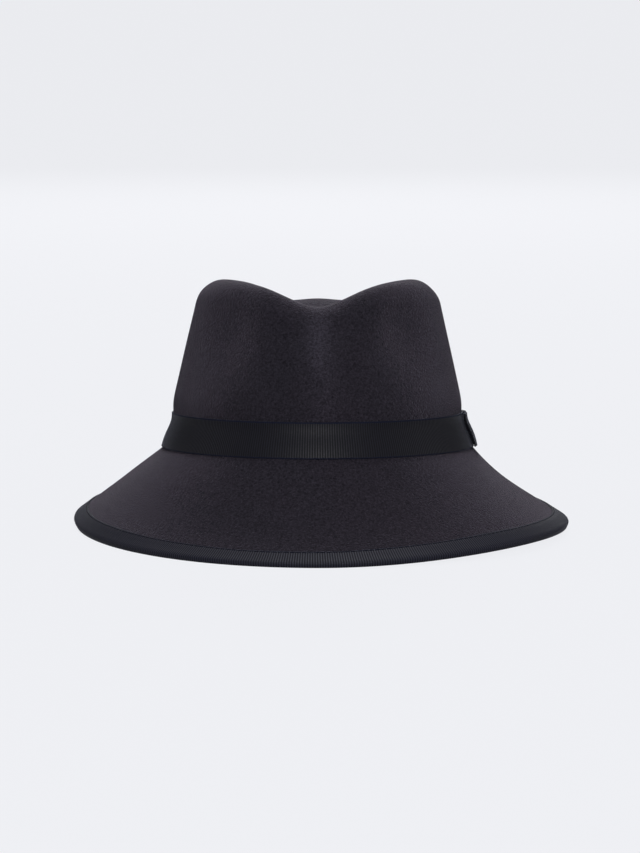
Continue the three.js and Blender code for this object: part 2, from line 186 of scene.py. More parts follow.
def edge_point(angle):
    forward = EDGE_FORWARD * np.maximum(0, np.sin(angle)) ** 2
    return np.stack((BRIM_HALF_WIDTH * np.sin(angle), -BRIM_HALF_LENGTH * np.cos(angle) - forward,
                     EDGE_HEIGHT + edge_lift(angle)), -1)


def brim_point(angle, along):
    """The brim's meridian is a cubic curve from the crown's foot to the edge."""
    foot = crown_point(angle, np.full_like(angle, 3.0))
    edge = edge_point(angle)
    out = edge - foot
    drop = -out[..., 2]
    out[..., 2] = 0
    reach = np.linalg.norm(out, axis=-1)
    out = out / reach[..., None]
    straight = np.arctan2(drop, reach)
    handle = (BRIM_HANDLE * np.linalg.norm(edge - foot, axis=-1))[..., None]
    left = np.maximum(0, np.sin(angle)) ** 2
    front = np.maximum(0, np.cos(angle + FLARE_TURN)) ** 4
    rear = np.maximum(0, -np.cos(angle)) ** 2
    right = np.maximum(0, -np.sin(angle)) ** 2
    start = straight + np.radians(START_SIDE + START_ENDS * np.cos(angle) ** 2 + START_LEFT * left
                                  + START_RIGHT * right)
    end = straight - np.radians(END_SIDE + END_FRONT * front + END_REAR * rear + END_LEFT * left)

    def heading(slope):
        way = out * np.cos(slope)[..., None]
        way[..., 2] = -np.sin(slope)
        return way

    near_foot = foot + heading(start) * handle
    near_edge = edge - heading(end) * handle
    t = along[..., None]
    return ((1 - t) ** 3 * foot + 3 * t * (1 - t) ** 2 * near_foot
            + 3 * t ** 2 * (1 - t) * near_edge + t ** 3 * edge)


def outer_point(angle, station):
    angle, station = np.broadcast_arrays(np.asarray(angle, float), np.asarray(station, float))
    crown = crown_point(angle, np.clip(station, 0, 3))
    brim = brim_point(angle, np.clip(station - 3, 0, 1))
    edge = edge_point(angle)
    last = edge - brim_point(angle, np.full_like(angle, 1 - EDGE_STEP))
    beyond = edge + last * ((station - 4) / EDGE_STEP)[..., None]
    shape = np.where((station > 3)[..., None], brim, crown)
    return np.where((station > 4)[..., None], beyond, shape)


def layer_point(angle, station, depth):
    """A place at a depth under the felt's outer surface; a negative depth stands out from it."""
    angle, station, depth = np.broadcast_arrays(
        np.asarray(angle, float), np.asarray(station, float), np.asarray(depth, float))
    centre = np.maximum(station, CENTRE_STATION)
    step = 0.004
    around = outer_point(angle + step, centre) - outer_point(angle - step, centre)
    down = outer_point(angle, centre + step) - outer_point(angle, centre - step)
    outward = np.cross(around, down)
    outward /= np.maximum(np.linalg.norm(outward, axis=-1), 1e-12)[..., None]
    guide = np.stack((np.sin(angle), -np.cos(angle), np.ones_like(angle)), -1)
    outward *= np.where((outward * guide).sum(-1) < 0, -1, 1)[..., None]
    outward = np.where((station < CENTRE_STATION)[..., None], np.array((0, 0, 1.0)), outward)
    return outer_point(angle, station) - outward * depth[..., None]


def even_turn(station, depth=0.0):
    """Turns an even share of the way round at a station into an angle, and gives that way's length."""
    angles = np.linspace(0, 2 * math.pi, TURN_SAMPLES)
    ring = layer_point(angles, station, depth)
    lengths = np.concatenate(([0], np.cumsum(np.linalg.norm(np.diff(ring, axis=0), axis=1))))
    return lambda share: np.interp(share, lengths / lengths[-1], angles), lengths[-1]


def patch_point(angle, along, height, depth):
    """A place on the wall near an angle: distance round the wall, height up it, and depth."""
    step = 0.01
    here = outer_point(angle, on_wall(height))
    ahead = outer_point(angle + step, on_wall(height))
    return layer_point(angle + step * along / np.linalg.norm(ahead - here, axis=-1), on_wall(height), depth)


# ---- mesh making -----------------------------------------------------------------------------------------
def loom(name, columns, rows, place, lay):
    """A flat grid wrapped into a closed piece: place says where each corner goes and lay gives its UVs."""
    bm = bmesh.new()
    bmesh.ops.create_grid(bm, x_segments=columns, y_segments=rows, size=0.5)
    mesh = bpy.data.meshes.new(name)
    bm.to_mesh(mesh)
    flat = np.empty(len(mesh.vertices) * 3)
    mesh.vertices.foreach_get("co", flat)
    u, v = flat.reshape(-1, 3)[:, 0] + 0.5, flat.reshape(-1, 3)[:, 1] + 0.5
    mesh.vertices.foreach_set("co", (place(u, v) * MM).ravel())
    corner = np.empty(len(mesh.loops), int)
    mesh.loops.foreach_get("vertex_index", corner)
    across, along = lay(u, v)
    layer = mesh.uv_layers.new(name="UVMap")
    layer.data.foreach_set("uv", np.stack((across[corner], along[corner]), -1).ravel())
    bm.clear()
    bm.from_mesh(mesh)
    bmesh.ops.remove_doubles(bm, verts=bm.verts, dist=2e-6)
    bmesh.ops.recalc_face_normals(bm, faces=bm.faces)
    bm.to_mesh(mesh)
    bm.free()
    mesh.polygons.foreach_set("use_smooth", [True] * len(mesh.polygons))
    piece = bpy.data.objects.new(name, mesh)
    bpy.context.scene.collection.objects.link(piece)
    return piece


def at_rows(profile, v):
    """Each grid corner's own entry in a profile, a list of equally long tuples."""
    table = np.array(profile, float)
    row = np.rint(v * (len(table) - 1)).astype(int)
    return table[row].T


def dress(piece, material, nodes):
    piece.data.materials.append(material)
    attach(piece, "root")
    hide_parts(*nodes)
    return piece


def ribs(distance):
    """Height of the grosgrain's ribs, 0 to 1, at a distance along the ribbon in millimetres."""
    return np.abs(np.sin(math.pi * distance / RIB_PITCH)) ** 0.8


def strip_profile(heights, shallow, deep):
    """Corners of a ribbon's section as (station, depth, across, face); face is 1 on the outer side."""
    top, foot, round_edge = max(heights), min(heights), 0.12
    outer = [(on_wall(h), shallow, top - h, 1.0) for h in heights]
    inner = [(on_wall(h), deep, top - h, 0.0) for h in heights[::-1][::2]]
    half = (shallow + deep) / 2
    foot_edge = [(on_wall(foot - round_edge), half, top - foot, 0.5)]
    top_edge = [(on_wall(top + round_edge), half, 0.0, 0.5)]
    return outer + foot_edge + inner + top_edge + outer[:1]


# ---- pieces ----------------------------------------------------------------------------------------------
FELT_COLUMNS = 300
FELT_ROWS = (27, 19, 47, 43)        # over the crown's top, its shoulder, its wall and the brim
ROUND_LENGTH, STATION_LENGTH = 560, 60      # about how far it is once round, and from station to station


def felt_crown_and_brim():
    stations = np.concatenate([
        np.linspace(part, part + 1, rows)[min(part, 1):] for part, rows in enumerate(FELT_ROWS)])
    inside = stations[::-2]
    rounded_edge = [(4.004, FELT / 2)]
    profile = [(s, 0.0) for s in stations] + rounded_edge + [(s, FELT) for s in inside]
    profile[-1] = (0.0, FELT)

    def place(u, v):
        station, depth = at_rows(profile, v)
        angle = u * 2 * math.pi
        # Hand blocking leaves the surface very slightly uneven.
        wander = (0.16 * np.sin(3 * angle + 1.3 * station) * np.sin(5.1 * station + 0.4)
                  + 0.12 * np.sin(7 * angle - 2.2 * station + 1) * np.sin(9 * station))
        return layer_point(angle, station, depth + wander * np.clip(station, 0, 1) * (station < 3.85))

    piece = loom("felt_crown_and_brim", FELT_COLUMNS, len(profile) - 1, place,
                 lambda u, v: (u * ROUND_LENGTH, at_rows(profile, v)[0] * STATION_LENGTH))
    paint_front_shading(piece)
    return piece


def paint_front_shading(piece):
    """Painted light and shade on the crown's front, kept in the 'nap' attribute: 0.5 changes nothing, more is
    a painted highlight, less is painted shade.
    """
    where = np.empty(len(piece.data.vertices) * 3)
    piece.data.vertices.foreach_get("co", where)
    x, y, z = where.reshape(-1, 3).T / MM
    front = 1 - smooth(y, -70, -30)
    nap = np.full_like(x, 0.5)
    for place, half_width, low, high, change in PAINTED_SHADING_STROKES:
        rise = smooth(z, low - 8, low + 8) * (1 - smooth(z, high - 10, high + 10))
        nap += change * np.exp(-((x - place) / half_width) ** 2) * rise * front
    # The 'nap' attribute holds painted light and shade, not the felt's fibres.
    layer = piece.data.attributes.new("nap", "FLOAT", "POINT")
    layer.data.foreach_set("value", nap)


def ribbon_round(name, heights, shallow, deep, ribbed=1.0):
    turn, length = even_turn(on_wall(8.0), shallow)
    count = round(length / RIB_PITCH)
    pitch = length / count
    profile = strip_profile(heights, shallow, deep)

    def place(u, v):
        station, depth, across, face = at_rows(profile, v)
        rib = ribs(u * length / pitch * RIB_PITCH) * RIB_HEIGHT * face * ribbed
        edge = (across <= 0.01) * 0.05 * rib
        return layer_point(turn(u), station - edge / shoulder_height, depth - rib)

    def lay(u, v):
        return u * length / pitch * RIB_PITCH, at_rows(profile, v)[2]

    return loom(name, count * 4, len(profile) - 1, place, lay), length


def hatband():
    heights = [RIBBON_WIDTH, 19.5, 18.5, 16.5, 14.5, 12.5, 10.5, 8.5, 6.5, 4.5, 2.5, 1.3, 0.8]
    piece, length = ribbon_round("hatband_ribbon", heights, -GAP - RIBBON, -GAP + 0.2)
    dress(piece, grosgrain, ["hatband"])


def brim_binding():
    inner = 4 - BINDING_WIDTH / BRIM_LENGTH
    turn, length = even_turn(3.99)
    count = round(length / RIB_PITCH)
    pitch = length / count
    out_depth, in_depth = GAP + BINDING, GAP - 0.2
    middle = FELT / 2
    legs = np.linspace(0, 1, 6)
    pressed = (0.12, 0.25, 0.45)        # the stitching presses the ribbon's edge down into the felt
    fold_out, fold_in = 0.75, 0.3       # how far the fold's two faces stand out past the felt's edge
    profile = [(inner + (4 - inner) * t, -out_depth + press, BINDING_WIDTH * t, 1.0, 0.0)
               for t, press in zip((0.0, 0.06, 0.13, 0.2), pressed[::-1] + (0.0,))]
    profile += [(inner + (4 - inner) * t, -out_depth, BINDING_WIDTH * t, 1.0, 0.0) for t in legs[2:]]
    for turned in (35, 65, 90, 115, 145):
        a = math.radians(turned)
        profile.append((4 + fold_out * math.sin(a) / BRIM_LENGTH, middle - (middle + out_depth) * math.cos(a),
                        BINDING_WIDTH + BINDING_TURN * turned / 180, 1.0, float(turned > 100)))
    profile += [(inner + (4 - inner) * t, FELT + out_depth, BINDING_WIDTH * (2 - t) + BINDING_TURN, 1.0,
                 float(t > 0.9)) for t in legs[::-1]]
    profile += [(inner + (4 - inner) * t, FELT + in_depth, BINDING_WIDTH * (2 - t) + BINDING_TURN, 0.0, 0.0)
                for t in (0.0, 0.5, 1.0)]
    profile += [(4 + fold_in / BRIM_LENGTH, middle, BINDING_WIDTH, 0.0, 0.0)]
    profile += [(inner + (4 - inner) * t, -in_depth, BINDING_WIDTH * t, 0.0, 0.0) for t in (1.0, 0.5, 0.0)]
    profile.append(profile[0])

    def place(u, v):
        station, depth, across, face, foot = at_rows(profile, v)
        distance = u * length
        rib = ribs(distance / pitch * RIB_PITCH) * RIB_HEIGHT * 0.8 * face
        from_selvedge = np.minimum(across, BINDING_RIBBON - across)
        pucker = 0.1 * np.sin(2 * math.pi * distance / STITCH) * np.exp(-from_selvedge / 2)
        wander = 0.25 * np.sin(2 * math.pi * 11 * u) * np.sin(2 * math.pi * 4 * u + 2)
        outward = np.where(depth > middle, 1, -1)
        near_inner = np.exp(-(station - inner) * BRIM_LENGTH / 1.5)
        shift = (wander + pucker) * near_inner / BRIM_LENGTH
        points = layer_point(turn(u), station + shift, depth + outward * (rib + pucker * face * 0.6))
        floor = edge_lift(turn(u))
        points[:, 2] = np.where(foot > 0.5, np.minimum(points[:, 2], floor + 0.1), points[:, 2])
        points[:, 2] = np.maximum(points[:, 2], floor)
        return points

    def lay(u, v):
        return u * length / pitch * RIB_PITCH, at_rows(profile, v)[2]

    piece = dress(loom("brim_edge_ribbon", count * 4, len(profile) - 1, place, lay),
                  folded_grosgrain, ["brim_binding"])


def stitched_thread(name, station, surface, outward, radius, stitch, node):
    """A sewing thread that lies on the surface and dips into it between stitches."""
    samples, sides = 8, 6
    turn, length = even_turn(station, surface)
    count = round(length / stitch)
    scale = 1 / BRIM_LENGTH if station > 3 else 1 / shoulder_height

    def place(u, v):
        swell = np.abs(np.sin(math.pi * count * u))
        dip = radius * (2.6 * (1 - swell) ** 4 - 0.5)
        bulge = radius * (0.75 + 0.25 * swell)
        section = 2 * math.pi * v
        return layer_point(turn(u), station + bulge * np.cos(section) * scale,
                           surface + outward * (bulge * np.sin(section) - dip))

    piece = loom(name, count * samples, sides, place, lambda u, v: (u * length, v * 6.28 * radius))
    return dress(piece, sewing_thread, [node])


BOW_ANGLE = math.radians(97)
BOW_HALF, BOW_LOW, BOW_HIGH, BOW_FOLD = 31.0, 0.7, 19.7, 0.3
BOW_RISE, BOW_MIDDLE, KEEPER_HALF = 1.1, 0.6, 5.2
BOW_BACK = GAP + RIBBON + GAP + BOW_FOLD + GAP


def closed_ribbon(name, route, low, high, put, node, swelling=0.0, turned_under=0.0):
    """A ribbon sewn into a ring: route is its closed centre line, with the outside face to its left."""
    loop = np.vstack((route, route[:1]))
    lengths = np.concatenate(([0], np.cumsum(np.linalg.norm(np.diff(loop, axis=0), axis=1))))
    count = round(lengths[-1] / RIB_PITCH)
    pitch = lengths[-1] / count
    levels = np.linspace(low, high, 9)
    profile = [(h, 0.5, h - low, 1.0) for h in levels] + [(high + 0.08, 0.0, high - low, 0.5)]
    profile += [(h, -0.5, h - low, 0.3) for h in levels[::-1]] + [(low - 0.08, 0.0, 0.0, 0.5)]
    profile.append(profile[0])

    def centre_line(distance):
        distance = distance % lengths[-1]
        return np.stack([np.interp(distance, lengths, loop[:, axis]) for axis in (0, 1)])

    def place(u, v):
        level, side, _, face = at_rows(profile, v)
        distance = u * lengths[-1]
        x, y = centre_line(distance)
        tx, ty = centre_line(distance + 0.1) - centre_line(distance - 0.1)
        size = np.maximum(np.hypot(tx, ty), 1e-9)
        out = side * BOW_FOLD + np.sign(side) * ribs(distance / pitch * RIB_PITCH) * RIB_HEIGHT * 0.8 * face
        swell = swelling * np.sin(math.pi * (level - low) / (high - low)) * (y > BOW_MIDDLE / 2)
        return put(x + ty / size * out, y - tx / size * out + swell, level)

    def lay(u, v):
        return u * lengths[-1] / pitch * RIB_PITCH, at_rows(profile, v)[2] + turned_under

    piece = dress(loom(name, count * 4, len(profile) - 1, place, lay), grosgrain, [node])


def bow_loops():
    phase = np.linspace(0, 2 * math.pi, 400, endpoint=False)
    cos, sin = np.cos(phase), np.sin(phase)
    x = (BOW_HALF - 0.2) * np.sign(cos) * np.abs(cos) ** 0.45
    open_up = smooth(np.abs(x), KEEPER_HALF, KEEPER_HALF + 9)
    half_gap = (BOW_MIDDLE - BOW_FOLD) / 2 + open_up * (BOW_RISE - BOW_MIDDLE) / 2
    y = BOW_FOLD / 2 + half_gap * (1 + np.sign(sin) * np.abs(sin) ** 0.35)

    def put(along, out, level):
        return patch_point(BOW_ANGLE, along, level, -BOW_BACK - out)

    closed_ribbon("bow_loops_ribbon", np.stack((x, y), -1), BOW_LOW, BOW_HIGH, put, "bow_loops",
                  swelling=0.35)


def bow_keeper():
    clear = GAP + BOW_FOLD / 2
    low, high = BOW_LOW - clear, BOW_HIGH + clear
    phase = np.linspace(0, 2 * math.pi, 300, endpoint=False)
    cos, sin = np.cos(phase), np.sin(phase)
    level = (low + high) / 2 + (high - low) / 2 * np.sign(cos) * np.abs(cos) ** 0.25
    out = BOW_MIDDLE / 2 + (BOW_MIDDLE / 2 + clear) * np.sign(sin) * np.abs(sin) ** 0.25

    def put(height, stand, along):
        # Two soft folds run up the keeper.
        fold = 0.16 * np.cos(2 * math.pi * along / 3.5) * (stand > BOW_MIDDLE / 2)
        waist = 1 - 0.06 * np.cos(math.pi * (height - low) / (high - low) * 2)
        return patch_point(BOW_ANGLE, along * waist, height, -BOW_BACK - stand - fold)

    closed_ribbon("bow_keeper_ribbon", np.stack((level, out), -1), -KEEPER_HALF, KEEPER_HALF, put,
                  "bow_keeper", turned_under=4.5)


def bow_tail():
    start, end, slanted = KEEPER_HALF + 1.8, BOW_HALF + 7, 5
    low, high = 1.2, RIBBON_WIDTH - 0.8
    levels = np.linspace(low, high, 9)
    profile = [(h, 0.5, 1.0) for h in levels] + [(h, -0.5, 0.3) for h in levels[::-1]]
    profile.append(profile[0])
    count = round((end + slanted - start) / RIB_PITCH) * 4

    def place(u, v):
        level, side, face = at_rows(profile, v)
        # The first and last columns close the strip's two ends.
        share = np.clip((u * (count + 2) - 1) / count, 0, 1)
        side = np.where((u < 0.5 / (count + 2)) | (u > 1 - 0.5 / (count + 2)), 0, side)
        slant = slanted * (1 - (level - low) / (high - low))
        along = start + (end + slant - start) * share
        rib = ribs(along) * RIB_HEIGHT * 0.8 * face * np.sign(side)
        return patch_point(BOW_ANGLE, along, level,
                           -GAP - RIBBON - GAP - BOW_FOLD / 2 - side * BOW_FOLD - rib)

    piece = loom("bow_tail_ribbon", count + 2, len(profile) - 1, place,
                 lambda u, v: (start + u * (end - start), at_rows(profile, v)[0] - low))
    dress(piece, grosgrain, ["bow_tail"])


lining_depth = FELT + GAP
sweatband_depth = lining_depth + LINING + GAP
reed_depth = sweatband_depth + REED_RADIUS
sweatband_foot_depth = reed_depth + REED_RADIUS + GAP


def sweatband():
    heights = [0.8, 2.0, 3.5, 5.0, 7.0, 8.5, 10.0, 12.0, 14.5, 18.0, 22.0, 26.0, 30.0, 33.0, 35.5, 37.0, 37.8]
    bends = ((0.0, sweatband_foot_depth), (5.0, sweatband_foot_depth), (10.0, sweatband_foot_depth - 1),
             (14.5, sweatband_depth), (SWEATBAND_HEIGHT, sweatband_depth))
    depth = np.interp(heights, *zip(*bends))
    back = [(h, d, 0.0) for h, d in zip(heights, depth)]
    face = [(h, d + LEATHER, 1.0) for h, d in zip(heights, depth)]
    profile = back + [(SWEATBAND_HEIGHT, depth[-1] + LEATHER / 2, 0.5)] + face[::-1]
    profile += [(0.6, depth[0] + LEATHER / 2, 0.5), back[0]]
    turn, length = even_turn(on_wall(20.0), sweatband_depth)

    def place(u, v):
        height, depth, face = at_rows(profile, v)
        # The leather relaxes into slow waves towards its free upper edge, and carries one creased line.
        wave = 0.22 * np.sin(2 * math.pi * 9 * u + 1) * np.sin(2 * math.pi * 4 * u) * smooth(height, 12, 38)
        line = 0.18 * np.exp(-((height - 35.5) / 0.5) ** 2) * face
        return layer_point(turn(u), on_wall(height), depth + wave - line)

    piece = loom("leather_sweatband", 420, len(profile) - 1, place,
                 lambda u, v: (u * length, at_rows(profile, v)[0]))
    dress(piece, leather, ["sweatband"])


def ring_cord(name, station, depth, radius, node, material, twist=0, columns=360, sides=12):
    """A round cord right round the hat; twist gives the number of strand turns that show on it."""
    scale = 1 / shoulder_height if station > 2 else 1 / SHOULDER_ARC
    turn, length = even_turn(station, depth)

    def place(u, v):
        section = 2 * math.pi * v
        strand = 1 + (0.12 * np.cos(2 * (section + math.pi * twist * u)) if twist else 0)
        return layer_point(turn(u), station + radius * strand * np.cos(section) * scale,
                           depth + radius * strand * np.sin(section))

    piece = loom(name, columns, sides, place, lambda u, v: (u * length, v * 2 * math.pi * radius))
    return dress(piece, material, [node])


def reed_tape():
    piece, _ = ribbon_round("reed_tape_strip", [10.0, 8.5, 7.0, 5.0, 3.5, 2.0, 0.8],
                            lining_depth, lining_depth + LINING, ribbed=0.3)
    dress(piece, tape_weave, ["reed_tape"])


def seam_zigzag():
    depth = sweatband_depth + LEATHER
    stitches = 7
    heights = np.linspace(22, SWEATBAND_HEIGHT - 1.5, stitches + 1)
    radius = 0.25

    def place(u, v):
        share = np.clip(u * 1.04 - 0.02, 0, 1) * stitches
        cell = np.minimum(share.astype(int), stitches - 1)
        part = share - cell
        swing = np.where(cell % 2 == 0, -1, 1) * (1 - 2 * part)
        height = np.interp(share, np.arange(stitches + 1), heights)
        dip = 2.4 * radius * np.abs(1 - 2 * part) ** 6
        closing = np.where((u < 0.001) | (u > 0.999), 0.0, 1.0)
        section = 2 * math.pi * v
        return patch_point(math.pi, 2.2 * swing + radius * closing * np.cos(section) * 0.6,
                           height + radius * closing * np.cos(section) * 0.8,
                           depth + 0.15 - dip + radius * closing * np.sin(section))

    piece = loom("sweatband_seam_zigzag", stitches * 14, 8, place, lambda u, v: (u * 40, v))
    dress(piece, sewing_thread, ["sweatband_seam_thread"])


def sweatband_bow():
    """A little satin bow: two puffed loops that narrow to a knot."""
    centre, base, half_length = 16.0, sweatband_foot_depth + GAP + 0.1, 9.2

    def place(u, v):
        section = 2 * math.pi * v
        along = half_length * (2 * u - 1)
        far = np.abs(along) / half_length
        half_height = (1.5 + 2.7 * smooth(far, 0.12, 0.8)) * np.sqrt(np.clip(1 - far ** 14, 0, 1))
        puff = (0.2 + 0.32 * np.sin(math.pi * np.clip(far, 0, 1)) + 0.35 * np.exp(-(far / 0.12) ** 2))
        pleat = 1 + 0.16 * np.cos(5 * section) * (1 - far) ** 0.5
        return patch_point(math.pi, along, centre + half_height * np.cos(section),
                           base + puff * pleat * (1 + np.sin(section)))

    piece = loom("sweatband_satin_bow", 72, 40, place, lambda u, v: (u * 18, v * 16))
    dress(piece, satin, ["sweatband_bow"])


def lining_side():
    wall_heights = (72, 66, 59, 52, 45, 38, 33, 28, 23, 18, 14.5)
    stations = [1.5, 1.6, 1.75, 1.9, 2.0] + [on_wall(h) for h in wall_heights]
    inner = [(s, lining_depth, 0.0) for s in stations]
    face = [(s, lining_depth + LINING, 1.0) for s in stations]
    profile = face + inner[::-1] + face[:1]
    turn, length = even_turn(on_wall(38.0), lining_depth)

    def place(u, v):
        station, depth, face = at_rows(profile, v)
        # The satin is gathered into soft folds where it meets the tip, and lies flat behind the leather.
        fold = 0.5 + 0.5 * np.cos(2 * math.pi * (64 * u + 0.3 * np.sin(2 * math.pi * 5 * u)))
        gathered = 1 - smooth(station, 1.6, 2.6)
        return layer_point(turn(u), station, depth + 0.7 * fold * gathered * face
                           + 0.35 * fold * (1 - face) * gathered)

    def lay(u, v):
        return u * length, at_rows(profile, v)[0] * 40

    piece = dress(loom("lining_side_satin", 640, len(profile) - 1, place, lay),
                  satin, ["lining_side"])


def lining_tip():
    stations = np.concatenate((np.linspace(0, 1, 25), (1.06, 1.12, 1.18, 1.25)))
    profile = [(s, lining_depth + LINING, 1.0) for s in stations]
    profile += [(s, lining_depth, 0.0) for s in stations[::-1]]

    def place(u, v):
        station, depth, face = at_rows(profile, v)
        angle = u * 2 * math.pi
        pucker = 0.25 * (0.5 + 0.5 * np.cos(72 * angle)) * smooth(station, 0.8, 1.25)
        return layer_point(angle, station, depth + pucker * face)

    def lay(u, v):
        angle, radius = u * 2 * math.pi, at_rows(profile, v)[0] * top_radius
        return radius * np.sin(angle), radius * np.cos(angle) * 1.4

    piece = dress(loom("lining_tip_satin", 432, len(profile) - 1, place, lay), satin, ["lining_tip"])


# ---- materials -------------------------------------------------------------------------------------------
class Nodes:
    """Short names for adding and linking nodes in one tree."""

    def __init__(self, tree):
        self.tree = tree

    def add(self, kind, **settings):
        node = self.tree.nodes.new(kind)
        for key, value in settings.items():
            setattr(node, key, value)
        return node

    def link(self, source, target):
        self.tree.links.new(source, target)

    def value(self, target, value):
        if isinstance(value, bpy.types.NodeSocket):
            self.link(value, target)
        else:
            target.default_value = value

    def math(self, operation, a, b=0.0, c=0.0, clamp=False):
        node = self.add("ShaderNodeMath", operation=operation, use_clamp=clamp)
        for socket, value in zip(node.inputs, (a, b, c)):
            self.value(socket, value)
        return node.outputs[0]

    def noise(self, vector, scale, detail=2.0, roughness=0.5):
        node = self.add("ShaderNodeTexNoise")
        self.link(vector, node.inputs["Vector"])
        self.value(node.inputs["Scale"], scale)
        node.inputs["Detail"].default_value = detail
        node.inputs["Roughness"].default_value = roughness
        return node.outputs["Fac"]

    def spread(self, value, low, high, to_low=0.0, to_high=1.0):
        node = self.add("ShaderNodeMapRange")
        for socket, number in zip(node.inputs, (value, low, high, to_low, to_high)):
            self.value(socket, number)
        return node.outputs[0]

    def mix(self, factor, a, b):
        node = self.add("ShaderNodeMix", data_type="RGBA")
        self.value(node.inputs["Factor"], factor)
        self.value(node.inputs["A"], a)
        self.value(node.inputs["B"], b)
        return node.outputs["Result"]

    def scaled(self, vector, factors):
        node = self.add("ShaderNodeMapping")
        self.link(vector, node.inputs["Vector"])
        node.inputs["Scale"].default_value = factors
        return node.outputs["Vector"]


def effect(name, inputs, outputs):
    """An empty shader node group with the given sockets."""
    group = bpy.data.node_groups.new(name, "ShaderNodeTree")
    for label, kind in inputs:
        group.interface.new_socket(name=label, in_out="INPUT", socket_type=kind)
    for label, kind in outputs:
        group.interface.new_socket(name=label, in_out="OUTPUT", socket_type=kind)
    nodes = Nodes(group)
    return group, nodes, nodes.add("NodeGroupInput").outputs, nodes.add("NodeGroupOutput").inputs


def mottle_group():
    """Slow and fine unevenness of dye, from a place in metres."""
    group, n, given, out = effect(
        "uneven dye", [("Place", "NodeSocketVector"), ("Grain per m", "NodeSocketFloat")],
        [("Slow", "NodeSocketFloat"), ("Fine", "NodeSocketFloat")])
    n.link(n.spread(n.noise(given["Place"], 22.0, 3.0), 0.3, 0.7), out["Slow"])
    n.link(n.spread(n.noise(given["Place"], given["Grain per m"], 3.0, 0.7), 0.25, 0.75), out["Fine"])
    return group


def weave_group():
    """Fine crossing yarns on a piece's UVs, which are in millimetres: along the ribbon, and across it."""
    group, n, given, out = effect(
        "fine yarns", [("UV", "NodeSocketVector"), ("Along per mm", "NodeSocketFloat"),
                       ("Across per mm", "NodeSocketFloat")],
        [("Height", "NodeSocketFloat"), ("Shade", "NodeSocketFloat")])
    parts = n.add("ShaderNodeSeparateXYZ")
    n.link(given["UV"], parts.inputs[0])
    along, across = (
        n.math("SINE", n.math("MULTIPLY", n.math("MULTIPLY", part, given[count]), math.tau))
        for part, count in zip(parts.outputs, ("Along per mm", "Across per mm")))
    n.link(n.math("MULTIPLY_ADD", n.math("MULTIPLY", along, across), 0.5, 0.5), out["Height"])
    n.link(n.noise(n.scaled(given["UV"], (0.75, 3.0, 1.0)), 1.0, 2.0), out["Shade"])
    return group


def material(name):
    made = bpy.data.materials.new(name)
    made.use_nodes = True
    n = Nodes(made.node_tree)
    shader = made.node_tree.nodes["Principled BSDF"]
    return made, n, shader


def place_in(n, kind="Object"):
    return n.add("ShaderNodeTexCoord").outputs[kind]


def group_in(n, group, **values):
    node = n.add("ShaderNodeGroup", node_tree=group)
    for label, value in values.items():
        n.value(node.inputs[label.replace("_", " ")], value)
    return node.outputs


def raise_surface(n, shader, height, strength, distance):
    bump = n.add("ShaderNodeBump")
    bump.inputs["Strength"].default_value = strength
    bump.inputs["Distance"].default_value = distance
    n.link(height, bump.inputs["Height"])
    n.link(bump.outputs["Normal"], shader.inputs["Normal"])


def sheen(shader, weight, roughness, tint):
    shader.inputs["Sheen Weight"].default_value = weight
    shader.inputs["Sheen Roughness"].default_value = roughness
    shader.inputs["Sheen Tint"].default_value = (*tint, 1)


def make_felt():
    made, n, shader = material("charcoal wool felt")
    place = place_in(n)
    dye = group_in(n, uneven_dye, Place=place, Grain_per_m=850.0)
    # Short fibres lie every way: three stretched noises make the nap.
    fibres = [n.noise(n.scaled(place, stretch), 1.0, 2.0, 0.6)
              for stretch in ((1900, 640, 700), (660, 1800, 660), (640, 700, 1900))]
    nap = n.math("MAXIMUM", n.math("MAXIMUM", fibres[0], fibres[1]), fibres[2])
    nap = n.spread(nap, 0.46, 0.78)
    tone = n.math("ADD", n.math("MULTIPLY", dye["Fine"], 0.55), n.math("MULTIPLY", nap, 0.45), clamp=True)
    # Painted light and shade: the 'nap' attribute lightens and darkens the felt's colour on the crown's
    # front.
    painted_shading = n.add("ShaderNodeAttribute", attribute_name="nap").outputs["Fac"]
    tone = n.math("MULTIPLY", tone, n.math("MULTIPLY_ADD", painted_shading, 0.9, 0.55))
    wool = n.mix(tone, FELT_DARK, FELT_LIGHT)
    n.link(n.mix(n.math("MULTIPLY", dye["Slow"], 0.35), wool, n.mix(tone, FELT_DARK, FELT_PLUM)),
           shader.inputs["Base Color"])
    n.link(n.spread(dye["Fine"], 0, 1, 0.88, 1.0), shader.inputs["Roughness"])
    shader.inputs["Specular IOR Level"].default_value = 0.10
    sheen(shader, 0.14, 0.27, (0.84, 0.74, 0.95))
    raise_surface(n, shader, n.math("ADD", nap, n.math("MULTIPLY", dye["Fine"], 1.2)), 0.7, 0.0005)
    return made


